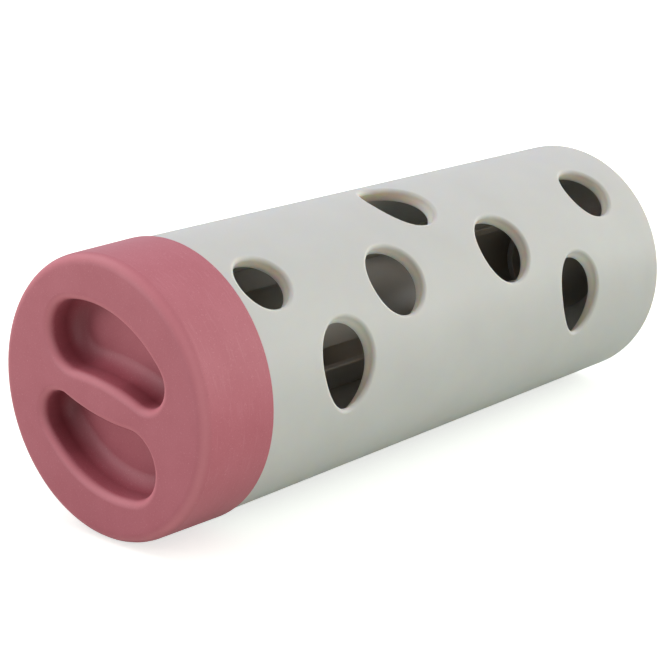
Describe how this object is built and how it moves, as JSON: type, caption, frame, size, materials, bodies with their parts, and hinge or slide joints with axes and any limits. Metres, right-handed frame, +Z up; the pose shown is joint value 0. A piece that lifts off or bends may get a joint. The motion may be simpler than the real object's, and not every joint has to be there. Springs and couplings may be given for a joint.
{
  "type": "cat treat roller",
  "caption": "Treat roller for cats: perforated plastic tube that drops treats as it rolls, with a finger-grip cap and a windowed inner tube.",
  "frame": {"origin": "middle of the roll axis, at the centre of the whole roller", "axes": "+X along the roll axis from the cap to the closed base, +Z up as it lies, -Y towards the front holes"},
  "size_m": [0.191, 0.0712, 0.0712],
  "materials": {
    "tube_plastic": "satin moulded",
    "inner_plastic": "satin moulded",
    "cap_plastic": "soft matte moulded"
  },
  "bodies": {
    "outer_tube": {"outer_tube": "tube_plastic"},
    "inner_tube": {"inner_tube": "inner_plastic"},
    "cap": {"cap": "cap_plastic"}
  },
  "joints": [
    {"name": "inner_tube_pull", "type": "slide", "parent": "outer_tube", "child": "inner_tube", "axis": [-1, 0, 0], "range_m": [0, 0.19]},
    {"name": "cap_twist", "type": "hinge", "parent": "inner_tube", "child": "cap", "pos_m": [-0.085, 0, 0], "axis": [1, 0, 0], "continuous": true}
  ]
}
